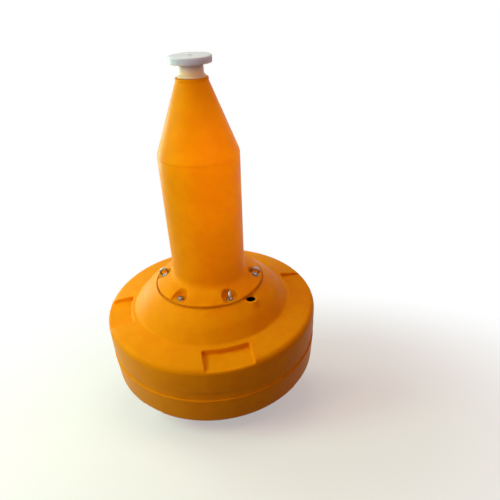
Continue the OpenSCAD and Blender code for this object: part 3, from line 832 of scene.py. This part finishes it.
# %% Weight, studs, washers and nuts
WEIGHT_R, BORE_R, WEIGHT_H, STACK_H, STUD_AT, STUD_END, NUT_H = 150, 62, 84, 106, 120, 6, 13
ZINC_SLOT = "zinc_coated_steel"
stud_azimuths = [math.radians(30 + 60 * i) for i in range(6)]

def below_weight(drop, twists=(0,) * 6):
    """Places round the weight's studs, at a depth under the float's flat bottom."""
    return ring_of_places(STUD_AT, -drop, stud_azimuths, twists)

corners = [(BORE_R, -WEIGHT_H, 5), (WEIGHT_R, -WEIGHT_H, 7), (WEIGHT_R, 0, 5), (BORE_R, 0, 2)]
weight = turned("weight", bevelled(corners, 4), 96, bored=True)
placed("counterweight_ring", weight, ["counterweight"], weight_finish)
stud_rows = [(0, 0), (6.4, 0)] + thread_rows(8, 1.2, 21, 2.0, 1.1, 24) + [(7.0, 22), (7.0, 195), (0, 196)]
grown("threaded_studs", copy_tree, below_weight(STACK_H), ["base_studs"], ZINC_SLOT,
      Shape=turned("stud", stud_rows, 24), Finish=lug_finish)
grown("low_washers", washer_tree, below_weight(WEIGHT_H + WASHER_T), ["base_washers"], ZINC_SLOT,
      **WASHER, Outer_radius=0.015, Finish=lug_finish)
nut = turned("nut", hexagon_rows(13.8, 0, NUT_H, 11.4, 48, bore=7.9), 48, bored=True)
nut_places = below_weight(STACK_H - STUD_END, [4, 23, -11, 40, 15, -30])
grown("hexagon_nuts", copy_tree, nut_places, ["base_nuts"], ZINC_SLOT, Shape=nut, Finish=lug_finish)

# %% [markdown]
# Through the middle of the weight comes the mooring lug: a flat eye on a round root, for the shackle
# of the chain. It is a plate cut to an outline, which is turned round the hole's own axis, so the
# same helper as before makes it, edges softened.

# %% Mooring lug
LUG_Z, LUG_R, LUG_HALF, LUG_HOLE, ROOT_T, ROOT_R, LUG_SOFT = -106, 36, 14, 17, 12, 56, 2
LUG_TOP = -6 - LUG_Z
corner = math.atan2(LUG_TOP, LUG_R)
lug_turns = np.r_[np.linspace(0, 2 * math.pi, 96, endpoint=False), corner, math.pi - corner]
lug_turns = np.unique(np.round(lug_turns, 5))

def lug_edge(inset):
    """The lug's edge seen from the hole: a half circle below, straight sides and a straight top."""
    across, rise = np.maximum(np.abs(np.cos(lug_turns)), 1e-6), np.maximum(np.sin(lug_turns), 1e-6)
    straight = np.minimum((LUG_R - inset) / across, (LUG_TOP - inset) / rise)
    return np.where(np.sin(lug_turns) < 0, LUG_R - inset, straight)

lug_side = [(LUG_HOLE, LUG_HALF - LUG_SOFT), (LUG_HOLE + LUG_SOFT, LUG_HALF),
            (lug_edge(LUG_SOFT), LUG_HALF), (lug_edge(0), LUG_HALF - LUG_SOFT)]
lug_rows = [(r, -z) for r, z in lug_side] + lug_side[::-1]
lug = turned("lug", lug_rows, turns=lug_turns, bored=True)
lug.transform(Matrix.Translation((0, 0, LUG_Z / 1000)) @ Matrix.Rotation(math.pi / 2, 4, "X"))
root_outline = rounded([
    (0, -ROOT_T, 0), (ROOT_R, -ROOT_T, 2), (ROOT_R, 0, 1), (22, 0, 0.1), (22, 139, 1), (0, 140, 0)], 3)
placed("mooring_lug", lug, ["mooring_eye"], lug_finish)
placed("lug_root", turned("root", root_outline, 72), None, lug_finish)

# %% [markdown]
# The weld where the lug meets its root is a bead laid by hand, so it is a little uneven. A tube
# along the plate's outline, its thickness set by noise with a fixed seed, is just that.

# %% Weld bead
tree = places_tree("weld_bead", Length=0.072, Breadth=0.028, Bead_radius=0.004, Uneven=0.25)
outline = tree.add("CurvePrimitiveQuadrilateral", Width=tree["Length"], Height=tree["Breadth"])
even = tree.add("ResampleCurve", Curve=outline, Count=120)
lumps = tree.add("ShaderNodeTexNoise", noise_dimensions="4D", W=4.0, Scale=180.0)
thick = tree.math("MULTIPLY_ADD", lumps, tree["Uneven"], 0.88)
size = tree.add("SetCurveRadius", Curve=even, Radius=thick)
unit = tree.add("CurvePrimitiveCircle", Resolution=8, Radius=tree["Bead radius"])
bead_tree = stand_on_places(tree, tree.add("SetShadeSmooth", tree.add("CurveToMesh", size, unit, thick)))
bead_place = ring_of_places(0, -ROOT_T - 0.5, [0.0], [90])
grown("weld_bead", bead_tree, bead_place, [], ZINC_SLOT, Finish=lug_finish)

# %% [markdown]
# The new pieces got their finish as they were made. The two skins get theirs here, and so do the
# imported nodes, of which the lantern's seat stays in view: its shape is right as it is.

# %% Give every large piece its finish
def finished(piece, *finishes):
    """Puts the finishes in the piece's material slots."""
    piece.data.materials.clear()
    for finish in finishes:
        piece.data.materials.append(finish)

finished(float_skin, float_finish, inside_painted_shade)
float_skin.data.polygons.foreach_set("material_index", inside_faces)
finished(tower_skin, tower_finish)
node_finishes = {"float_hull": float_finish, "tower": tower_finish, "lantern_seat": milky_finish,
                 "counterweight": weight_finish, "eye_bolts": eye_finish, "plain_bolt": eye_finish,
                 "eye_washers": eye_finish}
for name, node in frame["nodes"].items():
    finished(node, node_finishes.get(name, lug_finish))
print("finished nodes:", len(frame["nodes"]))

# %% [markdown]
# The floor is one big plane with a plain pale finish. Far away it turns into the white of the
# backdrop: the camera, and the mirrors of metal, see it fade. The light that the floor throws back
# at the buoy comes from a darker grey, or the buoy's underside would be far too bright.

# %% Floor
def seen_directly(tree):
    """1 for the rays of the camera and of mirrors and glass, else 0."""
    rays = tree.add("LightPath").outputs
    mirrors = tree.math("ADD", rays["Is Glossy Ray"], rays["Is Transmission Ray"])
    return tree.math("MINIMUM", tree.math("ADD", rays["Is Camera Ray"], mirrors), 1.0)

HALF = 40
floor_mesh = bpy.data.meshes.new("floor")
floor_mesh.from_pydata([(-HALF, -HALF, 0), (HALF, -HALF, 0), (HALF, HALF, 0), (-HALF, HALF, 0)], [], [(0, 1, 2, 3)])
floor = object_of("floor", floor_mesh)
floor_finish = bpy.data.materials.new("pale_floor")
floor_finish.use_nodes = True
tree = Nodes(floor_finish.node_tree)
seen = seen_directly(tree)
pale = tree.mix(tree.add("TexNoise", Scale=140.0), (0.87, 0.85, 0.89, 1), (0.91, 0.89, 0.93, 1))
place = tree.add("TexCoord").outputs["Object"]
distance = tree.add("VectorMath", place, operation="LENGTH").outputs["Value"]
far = tree.math("MULTIPLY", tree.spread(distance, 0.8, 2.8, 0.40, 1.0), seen)
ground = tree.add("BsdfDiffuse", tree.mix(seen, (0.30, 0.30, 0.30, 1), pale))
tree.add("OutputMaterial", tree.add("MixShader", far, ground, tree.add("Emission")))
floor_mesh.materials.append(floor_finish)
print("floor:", floor_finish.name)

# %% [markdown]
# Daylight falls on the real buoy from its left and from behind, and that side of it is yellow. The
# light on its other side is redder. So the lamps on the left are a cool white, and the fill and the
# lamp on the right are warm. What the camera and the mirrors see of the world is plain white.

# %% World and lamps
world = bpy.data.worlds.new("world")
bpy.context.scene.world = world
world.use_nodes = True
tree = Nodes(world.node_tree)
fill = tree.add("Background", (1.0, 0.48, 0.28, 1), 0.23)
backdrop = tree.add("Background", (1, 1, 1, 1), 1.0)
tree.add("OutputWorld", tree.add("MixShader", seen_directly(tree), fill, backdrop))
bpy.context.scene.view_settings.view_transform = "Standard"

def area_light(name, place, watts, color, aim=(0, 0, 0.8), size=(1.8, 1.8), spread=180):
    """A lamp of that width and height in metres, aimed at a point."""
    lamp = object_of(name, bpy.data.lights.new(name, "AREA"))
    lamp.data.shape = "RECTANGLE"
    lamp.data.size, lamp.data.size_y = size
    lamp.data.energy, lamp.data.color, lamp.data.spread = watts, color, math.radians(spread)
    lamp.location = place
    lamp.rotation_euler = (Vector(aim) - Vector(place)).to_track_quat("-Z", "Y").to_euler()
    print(name, watts, "W")

area_light("left_window", (-3.2, -1.16, 2.8), 86, (0.46, 1.0, 0.64))
area_light("left_front_window", (-2.6, -2.2, 1.9), 38, (1.0, 0.87, 0.76))
area_light("back_window", (-2.8, 1.95, 1.9), 62, (0.84, 1.0, 0.88))
area_light("front_window", (-1.44, -3.1, 2.8), 8, (1.0, 0.80, 0.72))
area_light("right_window", (2.8, -1.6, 3.3), 13, (1.0, 0.50, 0.35), size=(2.0, 2.0))
area_light("roof_light", (0, -0.2, 4.2), 44, (0.91, 1.0, 0.78), (0, -0.2, 0.6), (2.4, 2.4))
area_light("tower_light", (1.84, -3.12, 1.75), 1.9, (1.0, 0.74, 0.62), (0, -0.5, 1.26), (0.7, 0.6), 24)
